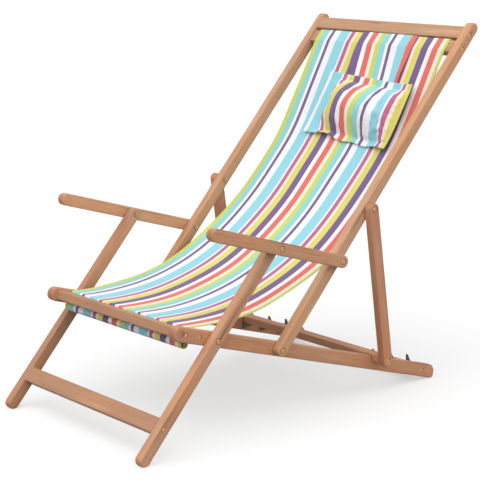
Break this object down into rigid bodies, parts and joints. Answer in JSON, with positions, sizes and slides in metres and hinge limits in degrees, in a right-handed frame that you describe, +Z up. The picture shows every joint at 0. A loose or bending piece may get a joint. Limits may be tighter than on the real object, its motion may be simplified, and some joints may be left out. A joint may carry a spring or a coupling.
{
  "type": "folding beach chair",
  "caption": "Wooden folding sling chair with parallel armrests and legs, a hooked prop frame behind the back, a striped fabric sling and a head pillow.",
  "frame": {"origin": "on the floor, under the middle of the bounding box", "axes": "+Z up, the front faces -Y, +X is the sitter's left"},
  "size_m": [0.6052, 1.0567, 0.8866],
  "materials": {
    "frame_wood": "oiled",
    "dowel_wood": "plain",
    "hook_steel": "dark satin",
    "fastener_metal": "satin",
    "sling_fabric": "woven stripes",
    "pillow_fabric": "woven stripes"
  },
  "bodies": {
    "base": {"base_rail_left": "frame_wood", "base_rail_right": "frame_wood", "front_crossbar": "frame_wood", "seat_sling_bar": "frame_wood", "rear_crossbar": "frame_wood", "adjusting_hooks_left": "hook_steel", "adjusting_hooks_right": "hook_steel", "seat_hem_dowel": "dowel_wood", "leg_pivot_bolts": "fastener_metal", "leg_pivot_nuts": "fastener_metal", "stile_pivot_bolts": "fastener_metal", "stile_pivot_nuts": "fastener_metal", "base_pivot_washers": "fastener_metal"},
    "back": {"back_stile_left": "frame_wood", "back_stile_right": "frame_wood", "top_crossbar": "frame_wood", "head_sling_bar": "frame_wood", "head_hem_dowel": "dowel_wood", "sling": "sling_fabric", "head_pillow": "pillow_fabric", "pillow_strap": "pillow_fabric", "prop_pivot_bolts": "fastener_metal", "prop_pivot_nuts": "fastener_metal", "arm_pivot_bolts": "fastener_metal", "arm_pivot_nuts": "fastener_metal", "back_pivot_washers": "fastener_metal"},
    "legs": {"leg_left": "frame_wood", "leg_right": "frame_wood", "leg_crossbar": "frame_wood", "arm_leg_bolts": "fastener_metal", "arm_leg_nuts": "fastener_metal", "arm_leg_washers": "fastener_metal"},
    "arm_left": {"armrest_left": "frame_wood"},
    "arm_right": {"armrest_right": "frame_wood"},
    "prop": {"prop_left": "frame_wood", "prop_right": "frame_wood", "prop_crossbar": "frame_wood"}
  },
  "joints": [
    {"name": "back_fold", "type": "hinge", "parent": "base", "child": "back", "pos_m": [0, -0.11844, 0.18019], "axis": [1, 0, 0], "range_deg": [0, 98], "deforming": ["sling"]},
    {"name": "legs_fold", "type": "hinge", "parent": "base", "child": "legs", "pos_m": [0, -0.30725, 0.23982], "axis": [1, 0, 0], "range_deg": [0, 98]},
    {"name": "arm_left_fold", "type": "hinge", "parent": "back", "child": "arm_left", "pos_m": [0, 0.05089, 0.36547], "axis": [1, 0, 0], "range_deg": [-98, 0]},
    {"name": "arm_right_fold", "type": "hinge", "parent": "back", "child": "arm_right", "pos_m": [0, 0.05089, 0.36547], "axis": [1, 0, 0], "range_deg": [-98, 0]},
    {"name": "prop_fold", "type": "hinge", "parent": "back", "child": "prop", "pos_m": [0, 0.15141, 0.47546], "axis": [1, 0, 0], "range_deg": [-35.28, 0]}
  ],
  "couplings": [
    {"joint": "legs_fold", "follows": "back_fold", "ratio": 1},
    {"joint": "arm_left_fold", "follows": "back_fold", "ratio": -1},
    {"joint": "arm_right_fold", "follows": "back_fold", "ratio": -1},
    {"joint": "prop_fold", "follows": "back_fold", "ratio": -0.36}
  ]
}
